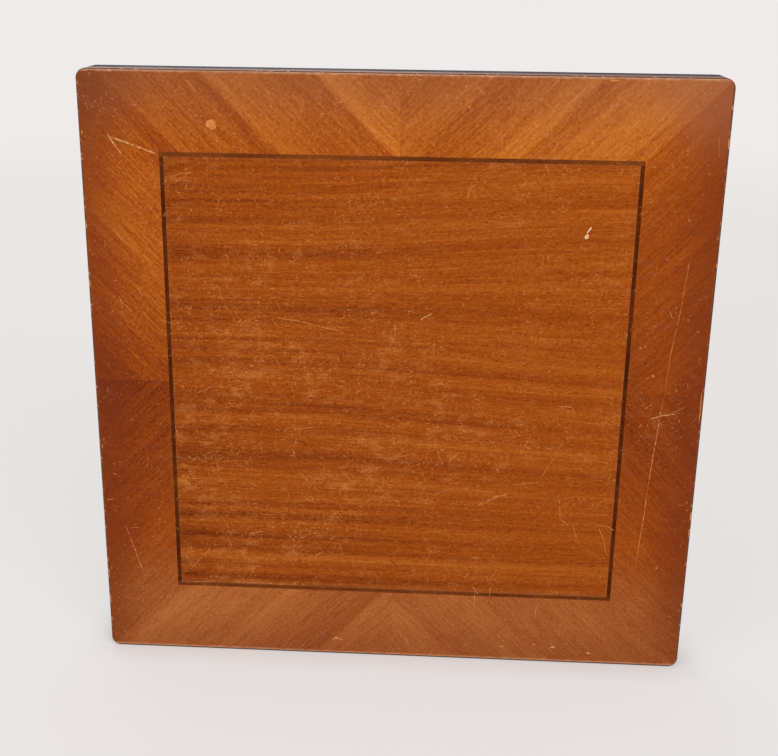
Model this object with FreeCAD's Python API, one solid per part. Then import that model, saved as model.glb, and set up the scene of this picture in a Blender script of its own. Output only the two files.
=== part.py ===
import FreeCAD, Part
import math
import os
from FreeCAD import Placement, Rotation, Vector

# A folding card table, put away: it stands on one edge with its legs folded behind the top.
# It is drawn as it stands in use, with the playing surface at z = 0 and all the rest below it,
# x to the right and y away, and each finished piece is then stood on the edge that faced y = -.
# Lengths are millimetres and angles are degrees.

# Top
TOP_SIDE = 762.0
CORNER_RADIUS = 12.0
ARRIS_RADIUS = 3.0
VENEER_THICKNESS = 0.8
CORE_THICKNESS = 17.4
LIPPING_WIDTH = 14.0
BORDER_WIDTH = 95.0
STRING_WIDTH = 5.0

# Rails under the top
RAIL_THICKNESS = 18.0
RAIL_DEPTH = 38.0
RAIL_QUIRK = 1.0
RAIL_ROUNDING = 4.0
KEY_THICKNESS = 3.0
KEY_REACH = 33.0

# Legs
TABLE_HEIGHT = 686.0
LEG_SIZE = 28.0
FOOT_SIZE = 20.0
LEG_EDGE_RADIUS = 2.5
LEG_TAPER_START = 150.0
LEG_HEADROOM = 2.0
LEG_STOP_GAP = 0.5
GLIDE_RADIUS = 8.0
GLIDE_HEIGHT = 4.0
GLIDE_RIM = 1.2
GLIDE_NAIL_RADIUS = 1.6
GLIDE_NAIL_LENGTH = 14.0

# Leg pivot
STUD_RADIUS = 4.0
STUD_HEAD_RADIUS = 7.0
STUD_HEAD_THICKNESS = 2.0
SPACER_RADIUS = 9.0
BUSH_WALL = 1.2
WASHER_RADIUS = 9.0
WASHER_THICKNESS = 1.5
NUT_FLATS = 13.0
NUT_HEIGHT = 5.0
NUT_DOME_HEIGHT = 3.0

# Stay, its two pins and the plate that guides it
LEG_OPEN_ANGLE = 90.0
STAY_TURN_RATIO = 0.5
HOOK_END_ANGLE = 20.0
STAY_SCREW_REACH = 104.0
STAY_SCREW_OFFSET = 4.0
STAY_WIDTH = 14.0
STAY_THICKNESS = 2.0
STAY_SCREW_RADIUS = 3.0
STAY_SCREW_HEAD_RADIUS = 5.0
STAY_SCREW_THREAD_RADIUS = 2.2
STAY_SCREW_THREAD_LENGTH = 16.0
PIN_RADIUS = 3.0
PIN_HEAD_RADIUS = 4.5
PIN_HEAD_THICKNESS = 1.6
PIN_DOME_RADIUS = 4.6
PIN_DOME_HEIGHT = 1.2
PLATE_THICKNESS = 1.8
PLATE_MARGIN = 5.0
PLATE_NECK_TOP = 8.0
PLATE_TAIL = 14.0

# Screws
PLATE_SCREW_RADIUS = 1.8
PLATE_SCREW_HEAD_RADIUS = 3.5
PLATE_SCREW_LENGTH = 12.0
NECK_SCREW_FROM_PIVOT = 26.0
NECK_SCREW_FROM_SLOT = 33.0
RAIL_SCREW_RADIUS = 2.0
RAIL_SCREW_HEAD_RADIUS = 4.0
RAIL_SCREW_HEAD_HEIGHT = 3.0
RAIL_SCREW_BITE = 12.0
RAIL_SCREW_SPACING = 230.0
RAIL_COUNTERBORE_DEPTH = 20.0

# Clearances
FIT = 0.05
RUNNING_FIT = 0.08
SIDE_CLEARANCE = 0.2
STAY_TO_PLATE = 0.3
SLOT_CLEARANCE = 0.3
HEAD_CLEARANCE = 0.4
DOME_TO_LEG = 0.7
SCREW_TIP = 2.0

# Levels and places that follow from the sizes above
HALF = TOP_SIDE / 2
TOP_THICKNESS = CORE_THICKNESS + 2 * VENEER_THICKNESS
TOTAL_DEPTH = TOP_THICKNESS + RAIL_DEPTH
RAIL_INNER = HALF - RAIL_THICKNESS
STRING_OUTER = HALF - BORDER_WIDTH
STRING_INNER = STRING_OUTER - STRING_WIDTH
CORE_HALF = HALF - LIPPING_WIDTH
PIVOT_DEPTH = TOP_THICKNESS + LEG_HEADROOM + LEG_SIZE / 2
PIVOT_Y = RAIL_INNER - LEG_STOP_GAP - LEG_SIZE / 2
LEG_LENGTH = TABLE_HEIGHT - PIVOT_DEPTH

# Layers beside a rail, measured from the rail's inner face towards the middle of the table
STAY_OUTER = PLATE_THICKNESS + STAY_TO_PLATE
STAY_INNER = STAY_OUTER + STAY_THICKNESS
LEG_OUTER = STAY_INNER + PIN_DOME_HEIGHT + DOME_TO_LEG
LEG_INNER = LEG_OUTER + LEG_SIZE
WASHER_OUTER = LEG_INNER + SIDE_CLEARANCE
NUT_OUTER = WASHER_OUTER + WASHER_THICKNESS
GROOVE_DEPTH = HEAD_CLEARANCE + PIN_HEAD_THICKNESS + HEAD_CLEARANCE

# The stay lies level when the leg is folded, and the pin comes back to that level when it is open
STAY_OPEN_ANGLE = STAY_TURN_RATIO * LEG_OPEN_ANGLE
STAY_LENGTH = (STAY_SCREW_REACH + STAY_SCREW_OFFSET) / math.sin(math.radians(STAY_OPEN_ANGLE))
STAY_SCREW_PLACE = (STAY_SCREW_REACH, -STAY_SCREW_OFFSET)
SLOT_HALF = PIN_RADIUS + SLOT_CLEARANCE
GROOVE_HALF = PIN_HEAD_RADIUS + HEAD_CLEARANCE
BAND_HALF = SLOT_HALF + PLATE_MARGIN
PLATE_EDGE = -STAY_SCREW_OFFSET - BAND_HALF

# The leg plane has s along the folded right leg from its pivot, w away from the top,
# and its normal runs outwards through the right rail from the rail's inner face.
LEG_PLANE = Placement(
    Vector(RAIL_INNER, PIVOT_Y, -PIVOT_DEPTH),
    Rotation(Vector(0, -1, 0), Vector(0, 0, -1), Vector(1, 0, 0), "XYZ"),
)
SIDES = ("right", "upper", "left", "lower")


def prism(corners, low, high):
    """Upright prism on a polygon of (x, y) corners."""
    points = [Vector(x, y, low) for x, y in corners]
    face = Part.Face(Part.makePolygon(points + points[:1]))
    return face.extrude(Vector(0, 0, high - low))


def square_prism(half_side, low, high):
    """Upright prism on a square about the origin."""
    corners = [(-half_side, -half_side), (half_side, -half_side)]
    corners += [(half_side, half_side), (-half_side, half_side)]
    return prism(corners, low, high)


def rounded_square(half_side, radius):
    """Wire of a square about the origin with rounded corners."""
    flat = half_side - radius
    diagonal = flat + radius * math.sqrt(0.5)
    edges = []
    for turn in range(4):
        spin = Rotation(Vector(0, 0, 1), 90 * turn)
        start = spin.multVec(Vector(half_side, -flat, 0))
        end = spin.multVec(Vector(half_side, flat, 0))
        bend = spin.multVec(Vector(diagonal, diagonal, 0))
        after = spin.multVec(Vector(flat, half_side, 0))
        edges.append(Part.makeLine(start, end))
        edges.append(Part.Arc(end, bend, after).toShape())
    return Part.Wire(edges)


def rounded_slab(half_side, radius, low, high):
    """Upright prism on a rounded square."""
    slab = Part.Face(rounded_square(half_side, radius)).extrude(Vector(0, 0, high - low))
    slab.translate(Vector(0, 0, low))
    return slab


def edges_at(shape, level):
    """Edges of a shape that lie flat at one level."""
    def flat_there(edge):
        box = edge.BoundBox
        return abs(box.ZMin - level) < 1e-6 and abs(box.ZMax - level) < 1e-6
    return [edge for edge in shape.Edges if flat_there(edge)]


def lathe(points, domed=False):
    """Solid turned about Z through (radius, height) points, from the axis and back to it.
    A domed one ends in a round cap instead of a straight line to its last point."""
    corners = [Vector(radius, 0, height) for radius, height in points]
    edges = [Part.makeLine(a, b) for a, b in zip(corners[:-2], corners[1:-1])]
    rim, tip = corners[-2], corners[-1]
    if domed:
        rise = tip.z - rim.z
        ball = (rim.x ** 2 + rise ** 2) / (2 * rise)
        half_angle = math.atan2(rim.x, abs(ball - rise)) / 2
        middle = Vector(abs(ball) * math.sin(half_angle), 0, tip.z - ball + ball * math.cos(half_angle))
        edges.append(Part.Arc(rim, middle, tip).toShape())
    else:
        edges.append(Part.makeLine(rim, tip))
    edges.append(Part.makeLine(tip, corners[0]))
    return Part.Face(Part.Wire(edges)).revolve(Vector(0, 0, 0), Vector(0, 0, 1), 360)


def tube(inner_radius, outer_radius, low, high):
    """Ring about Z."""
    ring = Part.makeCylinder(outer_radius, high - low, Vector(0, 0, low))
    return ring.cut(Part.makeCylinder(inner_radius, high - low, Vector(0, 0, low)))


def at_leg(shape, place=(0.0, 0.0)):
    """Moves a piece drawn in the leg plane, about the point (s, w), to the right rail.
    Its height is the distance from the rail's inner face, negative towards the table's middle."""
    moved = shape.copy()
    moved.translate(Vector(place[0], place[1], 0))
    moved.Placement = LEG_PLANE.multiply(moved.Placement)
    return moved


def layer(face, outer, inner):
    """Sheet between two distances from the rail's inner face, from a face in the leg plane."""
    sheet = face.extrude(Vector(0, 0, inner - outer))
    sheet.translate(Vector(0, 0, -inner))
    return sheet


def quarter_turned(shape, turn):
    """Copy of a right-hand piece on another side of the table."""
    turned = shape.copy()
    turned.rotate(Vector(0, 0, 0), Vector(0, 0, 1), 90 * turn)
    return turned


def all_round(shape):
    """The piece on all four sides."""
    return [quarter_turned(shape, turn) for turn in range(4)]


def put_away(shape):
    """Stands a piece on the table's lower edge, with the playing surface towards -Y."""
    stood = shape.copy()
    stood.rotate(Vector(0, 0, 0), Vector(1, 0, 0), 90)
    stood.translate(Vector(0, -TOTAL_DEPTH / 2, HALF))
    return stood


def pin_place(angle):
    """Place (s, w) of the slide pin when the leg has turned by an angle."""
    leg = math.radians(angle)
    stay = STAY_TURN_RATIO * leg
    along, away = STAY_SCREW_PLACE
    s = along * math.cos(leg) - away * math.sin(leg) + STAY_LENGTH * math.cos(stay)
    w = along * math.sin(leg) + away * math.cos(leg) - STAY_LENGTH * math.sin(stay)
    return Vector(s, w, 0)


def path_normal(angle):
    """Unit normal of the pin's path, on its outer side."""
    step = 0.01
    along = pin_place(angle + step) - pin_place(angle - step)
    return Vector(along.y, -along.x, 0).normalize()


def path_angles(first=0.0):
    """Leg angles along the pin's path, closer together where it hooks at the folded end."""
    steps = 16
    return [first + (LEG_OPEN_ANGLE - first) * (step / steps) ** 2 for step in range(steps + 1)]


def path_side(offset, first=0.0):
    """Curve beside the pin's path, from a first leg angle to the open end."""
    points = [pin_place(angle) + path_normal(angle) * offset for angle in path_angles(first)]
    curve = Part.BSplineCurve()
    curve.interpolate(points)
    return curve.toShape()


def path_cap(angle, half_width, outwards):
    """Half circle that closes a slot at one end of the pin's path."""
    centre = pin_place(angle)
    normal = path_normal(angle)
    ahead = Vector(-normal.y, normal.x, 0) * outwards
    ends = (centre + normal * half_width, centre - normal * half_width)
    return Part.Arc(ends[0], centre + ahead * half_width, ends[1]).toShape()


def path_slot(half_width, first=0.0):
    """Face of a slot that follows the pin's path from a first leg angle."""
    edges = [
        path_side(half_width, first),
        path_cap(LEG_OPEN_ANGLE, half_width, 1),
        path_side(-half_width, first),
        path_cap(first, half_width, -1),
    ]
    return Part.Face(Part.Wire(Part.__sortEdges__(edges)))


def head_groove():
    """Room in the rail for the pin's head: a routed groove along the path, plunged step by step
    round the hook at the folded end, which is tighter than the cutter."""
    groove = layer(path_slot(GROOVE_HALF, HOOK_END_ANGLE), -GROOVE_DEPTH, 0)
    hook = [angle for angle in path_angles() if angle < HOOK_END_ANGLE]
    plunges = [Part.makeCylinder(GROOVE_HALF, GROOVE_DEPTH, pin_place(angle)) for angle in hook]
    return at_leg(groove.fuse(plunges))


def plate_screw_places():
    """Screws of a leg plate: two in its neck, one under the slot's hump and one in its tail."""
    folded = pin_place(0)
    opened = pin_place(LEG_OPEN_ANGLE)
    level = (PLATE_EDGE + PLATE_NECK_TOP) / 2
    hump = (folded.x + opened.x) / 2
    return [
        (NECK_SCREW_FROM_PIVOT, level),
        (opened.x - NECK_SCREW_FROM_SLOT, level),
        (hump, folded.y),
        (folded.x + PLATE_TAIL, folded.y),
    ]


def top_blank():
    """The whole top before it is divided: rounded corners and a rounded upper arris."""
    slab = rounded_slab(HALF, CORNER_RADIUS, -TOP_THICKNESS, 0)
    return slab.makeFillet(ARRIS_RADIUS, edges_at(slab, 0))


def face_veneers(blank):
    """Field, stringing and the eight leaves of the border."""
    low = -VENEER_THICKNESS
    strip = [(STRING_INNER, -STRING_INNER), (STRING_OUTER, -STRING_OUTER)]
    strip += [(STRING_OUTER, STRING_OUTER), (STRING_INNER, STRING_INNER)]
    nodes = {
        "field_veneer": square_prism(STRING_INNER, low, 0),
        "stringing": Part.makeCompound(all_round(prism(strip, low, 0))),
    }
    leaf = [(STRING_OUTER, 0), (HALF, 0), (HALF, HALF), (STRING_OUTER, STRING_OUTER)]
    mirrored = [(x, -y) for x, y in reversed(leaf)]
    for turn, side in enumerate(SIDES):
        following, previous = SIDES[(turn + 1) % 4], SIDES[turn - 1]
        for outline, end in ((leaf, following), (mirrored, previous)):
            piece = quarter_turned(prism(outline, low, 0), turn)
            nodes["border_veneer_%s_%s" % (side, end)] = blank.common(piece)
    return nodes


def top_inside(blank, screw_holes):
    """Core, backing veneer and the four mitred lippings round the core."""
    core_low = -VENEER_THICKNESS - CORE_THICKNESS
    nodes = {
        "top_core": square_prism(CORE_HALF, core_low, -VENEER_THICKNESS),
        "backing_veneer": square_prism(CORE_HALF, -TOP_THICKNESS, core_low),
    }
    outline = [(CORE_HALF, -CORE_HALF), (HALF, -HALF), (HALF, HALF), (CORE_HALF, CORE_HALF)]
    lipping = blank.common(prism(outline, -TOP_THICKNESS, -VENEER_THICKNESS)).cut(screw_holes)
    for turn, side in enumerate(SIDES):
        nodes["lipping_%s" % side] = quarter_turned(lipping, turn)
    return nodes


def rail_ring():
    """All four rails before they are mitred apart."""
    ring = rounded_slab(HALF, CORNER_RADIUS, -TOTAL_DEPTH, -TOP_THICKNESS)
    ring = ring.makeChamfer(RAIL_QUIRK, edges_at(ring, -TOP_THICKNESS))
    ring = ring.makeFillet(RAIL_ROUNDING, edges_at(ring, -TOTAL_DEPTH))
    return ring.cut(square_prism(RAIL_INNER, -TOTAL_DEPTH, -TOP_THICKNESS))


def corner_key(ring):
    """Flat key let into the mitre between the right and the upper rail."""
    middle = -TOP_THICKNESS - RAIL_DEPTH / 2
    corner = [(HALF, HALF - KEY_REACH), (HALF, HALF), (HALF - KEY_REACH, HALF)]
    return ring.common(prism(corner, middle - KEY_THICKNESS / 2, middle + KEY_THICKNESS / 2))


def rail_screw_shape(clearance=0.0, bore=0.0):
    """Screw up through the right rail into the lipping, or the hole for it with a counterbore."""
    seat = -TOTAL_DEPTH + RAIL_COUNTERBORE_DEPTH
    tip = -TOP_THICKNESS + RAIL_SCREW_BITE
    head = RAIL_SCREW_HEAD_RADIUS + clearance
    shank = RAIL_SCREW_RADIUS + clearance
    start = seat - RAIL_SCREW_HEAD_HEIGHT - bore
    return lathe([(0, start), (head, start), (head, seat), (shank, seat), (shank, tip - SCREW_TIP), (0, tip)])


def rail_screws(shape):
    """Three screws, or their holes, along the right rail."""
    rail_middle = HALF - RAIL_THICKNESS / 2
    group = []
    for step in (-1, 0, 1):
        screw = shape.copy()
        screw.translate(Vector(rail_middle, step * RAIL_SCREW_SPACING, 0))
        group.append(screw)
    return Part.makeCompound(group)


def plate_screw_shape(clearance=0.0):
    """Countersunk screw, flush with the leg plate, or the hole for it."""
    head = PLATE_SCREW_HEAD_RADIUS + clearance
    shank = PLATE_SCREW_RADIUS + clearance
    throat = -PLATE_THICKNESS + PLATE_SCREW_HEAD_RADIUS - PLATE_SCREW_RADIUS
    tip = PLATE_SCREW_LENGTH
    return lathe([
        (0, -PLATE_THICKNESS), (head, -PLATE_THICKNESS), (shank, throat), (shank, tip - SCREW_TIP), (0, tip),
    ])


def plate_screws(shape):
    """The screws of the right leg plate, or their holes."""
    return Part.makeCompound([at_leg(shape, place) for place in plate_screw_places()])


def right_rail(ring, keys, screw_holes):
    """Mitred rail with the groove for the pin's head, the stud's pocket and the screw holes."""
    wedge = prism([(0, 0), (TOP_SIDE, -TOP_SIDE), (TOP_SIDE, TOP_SIDE)], -TOTAL_DEPTH, -TOP_THICKNESS)
    rail = ring.common(wedge)
    pocket = at_leg(Part.makeCylinder(STUD_HEAD_RADIUS + FIT, STUD_HEAD_THICKNESS + FIT))
    return rail.cut([head_groove(), pocket, plate_screws(plate_screw_shape(FIT)), screw_holes] + keys)


def leg_plate():
    """Steel plate on the rail's inner face: round nose at the pivot, a neck, the hump that the
    slot runs in and a tail with the last screw."""
    folded = pin_place(0)
    opened = pin_place(LEG_OPEN_ANGLE)
    tail = folded.x + PLATE_TAIL
    tail_top = folded.y + BAND_HALF
    rim = path_side(BAND_HALF)
    start, end = rim.Vertexes[0].Point, rim.Vertexes[-1].Point
    foot_start, foot_end = Vector(start.x, PLATE_EDGE, 0), Vector(end.x, PLATE_EDGE, 0)
    under = Part.makePolygon([end, foot_end, foot_start, start])
    hump = Part.Face(Part.Wire([rim] + under.Edges))
    neck_corners = [(0, PLATE_EDGE), (opened.x, PLATE_EDGE), (opened.x, PLATE_NECK_TOP), (0, PLATE_NECK_TOP)]
    tail_corners = [(opened.x, PLATE_EDGE), (tail, PLATE_EDGE), (tail, tail_top), (opened.x, tail_top)]
    body = layer(hump, 0, PLATE_THICKNESS).fuse([
        prism(neck_corners, -PLATE_THICKNESS, 0),
        prism(tail_corners, -PLATE_THICKNESS, 0),
        Part.makeCylinder(-PLATE_EDGE, PLATE_THICKNESS, Vector(0, 0, -PLATE_THICKNESS)),
        Part.makeCylinder(BAND_HALF, PLATE_THICKNESS, Vector(tail, folded.y, -PLATE_THICKNESS)),
    ]).removeSplitter()
    slot = layer(path_slot(SLOT_HALF), 0, PLATE_THICKNESS)
    stud_hole = Part.makeCylinder(STUD_RADIUS + FIT, PLATE_THICKNESS, Vector(0, 0, -PLATE_THICKNESS))
    plate = at_leg(body.cut([slot, stud_hole]))
    return plate.cut(plate_screws(plate_screw_shape(FIT)))


def pivot_pieces():
    """Stud, spacer, washer and domed nut of one leg's pivot, all fixed to the rail."""
    stud_end = -NUT_OUTER - NUT_HEIGHT
    stud = lathe([
        (0, STUD_HEAD_THICKNESS), (STUD_HEAD_RADIUS, STUD_HEAD_THICKNESS), (STUD_HEAD_RADIUS, 0),
        (STUD_RADIUS, 0), (STUD_RADIUS, stud_end), (0, stud_end),
    ])
    spacer = tube(STUD_RADIUS + FIT, SPACER_RADIUS, -LEG_OUTER + SIDE_CLEARANCE, -PLATE_THICKNESS)
    washer = tube(STUD_RADIUS + FIT, WASHER_RADIUS, -NUT_OUTER, -WASHER_OUTER)
    corner = NUT_FLATS / math.sqrt(3)
    turns = [math.radians(60 * step) for step in range(6)]
    hexagon = [(corner * math.cos(turn), corner * math.sin(turn)) for turn in turns]
    dome_rim = NUT_FLATS / 2 - SIDE_CLEARANCE
    dome = lathe([(0, stud_end), (dome_rim, stud_end), (0, stud_end - NUT_DOME_HEIGHT)], domed=True)
    bore = Part.makeCylinder(STUD_RADIUS + FIT, NUT_HEIGHT, Vector(0, 0, stud_end))
    nut = prism(hexagon, stud_end, -NUT_OUTER).cut(bore).fuse(dome).removeSplitter()
    return {
        "pivot_studs": at_leg(stud),
        "pivot_spacers": at_leg(spacer),
        "pivot_washers": at_leg(washer),
        "pivot_nuts": at_leg(nut),
    }


def leg_section(along, size):
    """Rounded square across the leg, kept flush with the faces that stay straight."""
    wire = rounded_square(size / 2, LEG_EDGE_RADIUS)
    wire.rotate(Vector(0, 0, 0), Vector(0, 1, 0), 90)
    wire.translate(Vector(along, LEG_SIZE / 2 - size / 2, -LEG_OUTER - size / 2))
    return wire


def foot_centre():
    """Distance of the foot's middle from the top side (w) and from the rail."""
    return LEG_SIZE / 2 - FOOT_SIZE / 2, LEG_OUTER + FOOT_SIZE / 2


def glide_shape(clearance=0.0):
    """Domed glide with its nail, about the leg's end, or the hole for the nail."""
    nail = GLIDE_NAIL_RADIUS + clearance
    depth = GLIDE_NAIL_LENGTH + clearance
    if clearance:
        return Part.makeCylinder(nail, depth, Vector(0, 0, -depth))
    return lathe([
        (0, -depth), (nail, SCREW_TIP - depth), (nail, 0), (GLIDE_RADIUS, 0),
        (GLIDE_RADIUS, GLIDE_RIM), (0, GLIDE_HEIGHT),
    ], domed=True)


def at_foot(shape):
    """Moves a piece drawn about Z to the end of the right leg."""
    away, inward = foot_centre()
    piece = shape.copy()
    piece.rotate(Vector(0, 0, 0), Vector(0, 1, 0), 90)
    piece.translate(Vector(LEG_LENGTH - GLIDE_HEIGHT, away, -inward))
    return at_leg(piece)


def stay_screw_shape(clearance=0.0):
    """Countersunk shoulder screw on which the stay turns, or the pilot hole in the leg."""
    tip = -LEG_OUTER - STAY_SCREW_THREAD_LENGTH - clearance
    thread = STAY_SCREW_THREAD_RADIUS + clearance
    if clearance:
        return Part.makeCylinder(thread, STAY_SCREW_THREAD_LENGTH + clearance, Vector(0, 0, tip))
    return lathe([
        (0, -STAY_OUTER), (STAY_SCREW_HEAD_RADIUS, -STAY_OUTER), (STAY_SCREW_RADIUS, -STAY_INNER),
        (STAY_SCREW_RADIUS, -LEG_OUTER), (thread, -LEG_OUTER), (thread, tip + SCREW_TIP), (0, tip),
    ])


def leg_pieces():
    """Leg, bush, glide, stay screw and stay washer, folded along the right rail."""
    half = LEG_SIZE / 2
    straight = Part.Face(leg_section(-half, LEG_SIZE)).extrude(Vector(half + LEG_TAPER_START, 0, 0))
    round_end = Part.makeCylinder(half, LEG_SIZE, Vector(0, 0, -LEG_INNER))
    shoulder = prism([(0, -half), (LEG_TAPER_START, -half), (LEG_TAPER_START, half), (0, half)],
                     -LEG_INNER, -LEG_OUTER)
    head = straight.common(round_end.fuse(shoulder))
    foot_section = leg_section(LEG_LENGTH - GLIDE_HEIGHT, FOOT_SIZE)
    taper = Part.makeLoft([leg_section(LEG_TAPER_START, LEG_SIZE), foot_section], True, True)
    bush_bore = STUD_RADIUS + RUNNING_FIT
    bush_radius = bush_bore + BUSH_WALL
    bore = Part.makeCylinder(bush_radius, LEG_SIZE, Vector(0, 0, -LEG_INNER))
    pilot = at_leg(stay_screw_shape(FIT), STAY_SCREW_PLACE)
    washer = tube(STAY_SCREW_RADIUS + FIT, STAY_WIDTH / 2, -LEG_OUTER, -STAY_INNER - SIDE_CLEARANCE)
    leg = at_leg(head.fuse(taper).removeSplitter().cut(bore))
    return {
        "leg": leg.cut([pilot, at_foot(glide_shape(FIT))]),
        "leg_bush": at_leg(tube(bush_bore, bush_radius, -LEG_INNER, -LEG_OUTER)),
        "foot_glide": at_foot(glide_shape()),
        "stay_screw": at_leg(stay_screw_shape(), STAY_SCREW_PLACE),
        "stay_washer": at_leg(washer, STAY_SCREW_PLACE),
    }


def stay_pieces():
    """Flat stay with round ends, and the pin that slides in the plate's slot."""
    near, far = Vector(*STAY_SCREW_PLACE, 0), pin_place(0)
    half = STAY_WIDTH / 2
    side, reach = Vector(0, half, 0), Vector(half, 0, 0)
    outline = Part.Wire([
        Part.makeLine(near - side, far - side),
        Part.Arc(far - side, far + reach, far + side).toShape(),
        Part.makeLine(far + side, near + side),
        Part.Arc(near + side, near - reach, near - side).toShape(),
    ])
    bar = layer(Part.Face(outline), STAY_OUTER, STAY_INNER)
    sink = Part.makeCone(
        STAY_SCREW_RADIUS + RUNNING_FIT, STAY_SCREW_HEAD_RADIUS + RUNNING_FIT, STAY_THICKNESS,
        Vector(near.x, near.y, -STAY_INNER),
    )
    pin_hole = Part.makeCylinder(PIN_RADIUS, STAY_THICKNESS, Vector(far.x, far.y, -STAY_INNER))
    head_top = HEAD_CLEARANCE + PIN_HEAD_THICKNESS
    pin = lathe([
        (0, head_top), (PIN_HEAD_RADIUS, head_top), (PIN_HEAD_RADIUS, HEAD_CLEARANCE),
        (PIN_RADIUS, HEAD_CLEARANCE), (PIN_RADIUS, -STAY_INNER), (PIN_DOME_RADIUS, -STAY_INNER),
        (0, -STAY_INNER - PIN_DOME_HEIGHT),
    ], domed=True)
    return {
        "stay": at_leg(bar.cut([sink, pin_hole])),
        "slide_pin": at_leg(pin, (far.x, far.y)),
    }


def table():
    """Every piece of the table by its name, as drawn in use but with the legs folded."""
    blank = top_blank()
    ring = rail_ring()
    key = corner_key(ring)
    screw_holes = rail_screws(rail_screw_shape(FIT, RAIL_COUNTERBORE_DEPTH))
    nodes = face_veneers(blank)
    nodes.update(top_inside(blank, screw_holes))
    nodes["corner_keys"] = Part.makeCompound(all_round(key))
    nodes["rail_screws"] = Part.makeCompound(all_round(rail_screws(rail_screw_shape())))
    nodes["plate_screws"] = Part.makeCompound(all_round(plate_screws(plate_screw_shape())))
    for name, piece in pivot_pieces().items():
        nodes[name] = Part.makeCompound(all_round(piece))
    sided = {"rail": right_rail(ring, [key, quarter_turned(key, 3)], screw_holes), "leg_plate": leg_plate()}
    sided.update(leg_pieces())
    sided.update(stay_pieces())
    for name, piece in sided.items():
        for turn, side in enumerate(SIDES):
            nodes["%s_%s" % (name, side)] = quarter_turned(piece, turn)
    return nodes


os.makedirs("parts", exist_ok=True)
for node, shape in table().items():
    put_away(shape).exportStep("parts/%s.step" % node)
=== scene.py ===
import math
import random

import bpy
from mathutils import Matrix, Vector


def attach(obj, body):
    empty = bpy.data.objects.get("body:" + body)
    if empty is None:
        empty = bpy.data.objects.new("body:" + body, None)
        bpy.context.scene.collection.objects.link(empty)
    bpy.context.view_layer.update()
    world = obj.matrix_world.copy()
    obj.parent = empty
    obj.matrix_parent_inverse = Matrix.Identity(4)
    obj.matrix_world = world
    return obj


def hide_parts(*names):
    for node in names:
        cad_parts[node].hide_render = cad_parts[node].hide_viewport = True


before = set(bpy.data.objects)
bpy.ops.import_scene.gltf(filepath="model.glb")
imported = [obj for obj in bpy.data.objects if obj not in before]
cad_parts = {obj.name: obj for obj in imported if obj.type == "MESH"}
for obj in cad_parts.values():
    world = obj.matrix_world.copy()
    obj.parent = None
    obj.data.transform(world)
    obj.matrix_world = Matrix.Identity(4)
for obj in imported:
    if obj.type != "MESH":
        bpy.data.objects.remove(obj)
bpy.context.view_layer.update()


# Core of the top: a blockboard panel, pine strips glued side by side between the face and
# backing veneers. It is closed in by the lippings, so only a damaged table would show it.
class Wire:
    """A socket of a node tree. Sums of wires add Math nodes, and node() adds any other kind."""

    def __init__(self, socket):
        self.socket = socket

    def node(self, kind, settings=(), values=(), out=0):
        tree = self.socket.id_data
        made = tree.nodes.new(kind)
        for key, value in dict(settings).items():
            if key == "stops":
                row = made.color_ramp.elements
                for count, (position, colour) in enumerate(value):
                    stop = row[count] if count < 2 else row.new(position)
                    stop.position = position
                    stop.color = colour
            else:
                setattr(made, key, value)
        for key, value in dict(values).items():
            for part in value if isinstance(value, list) else [value]:
                if isinstance(part, Wire):
                    tree.links.new(part.socket, made.inputs[key])
                else:
                    made.inputs[key].default_value = part
        return Wire(made.outputs[out])

    def beside(self, out):
        return Wire(self.socket.node.outputs[out])

    def maths(self, operation, *terms):
        return self.node("ShaderNodeMath", {"operation": operation}, dict(enumerate(terms)))

    def __add__(self, other):
        return self.maths("ADD", self, other)

    def __sub__(self, other):
        return self.maths("SUBTRACT", self, other)

    def __rsub__(self, other):
        return self.maths("SUBTRACT", other, self)

    def __mul__(self, other):
        return self.maths("MULTIPLY", self, other)

    def __truediv__(self, other):
        return self.maths("DIVIDE", self, other)

    def __abs__(self):
        return self.maths("ABSOLUTE", self)

    __radd__ = __add__
    __rmul__ = __mul__


def new_finish(name, **constants):
    """A material, its shader and its Object coordinates."""
    finish = bpy.data.materials.new(name)
    finish.use_nodes = True
    shader = finish.node_tree.nodes["Principled BSDF"]
    for socket, value in constants.items():
        shader.inputs[socket.replace("_", " ")].default_value = value
    place = Wire(finish.node_tree.nodes.new("ShaderNodeTexCoord").outputs["Object"])
    return finish, shader, place


def shade(shader, **wires):
    """Leads wires into the shader's sockets."""
    for socket, wire in wires.items():
        wire.socket.id_data.links.new(wire.socket, shader.inputs[socket.replace("_", " ")])


def noise(place, stretch, detail=2.0, roughness=0.5):
    """Noise with so many turns in a metre along X, Y and Z."""
    scaled = place.node("ShaderNodeVectorMath", {"operation": "MULTIPLY"}, {0: place, 1: stretch})
    return scaled.node("ShaderNodeTexNoise", {}, {
        "Vector": scaled, "Scale": 1.0, "Detail": detail, "Roughness": roughness,
    })


def rise(value, low, high):
    """Smooth step from 0 at low to 1 at high."""
    return value.node("ShaderNodeMapRange", {"interpolation_type": "SMOOTHSTEP"}, {
        0: value, 1: low, 2: high,
    })


def blend(factor, first, second):
    """Colour between two colours."""
    return factor.node("ShaderNodeMix", {"data_type": "RGBA"}, {
        0: factor, 6: first, 7: second,
    }, out=2)


def relief(height, strength, depth):
    """Normal of a surface with small relief."""
    return height.node("ShaderNodeBump", {}, {
        "Strength": strength, "Distance": depth, "Height": height,
    })


def dress(finish, *nodes):
    """Puts a finish on CAD pieces."""
    for node in nodes:
        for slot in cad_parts[node].material_slots:
            slot.material = finish


def coloured(red, green, blue):
    """Linear colour from the usual 0 to 255 values."""
    shares = [share / 255 for share in (red, green, blue)]
    linear = [
        share / 12.92 if share <= 0.04045 else ((share + 0.055) / 1.055) ** 2.4
        for share in shares
    ]
    return (*linear, 1.0)


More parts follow.
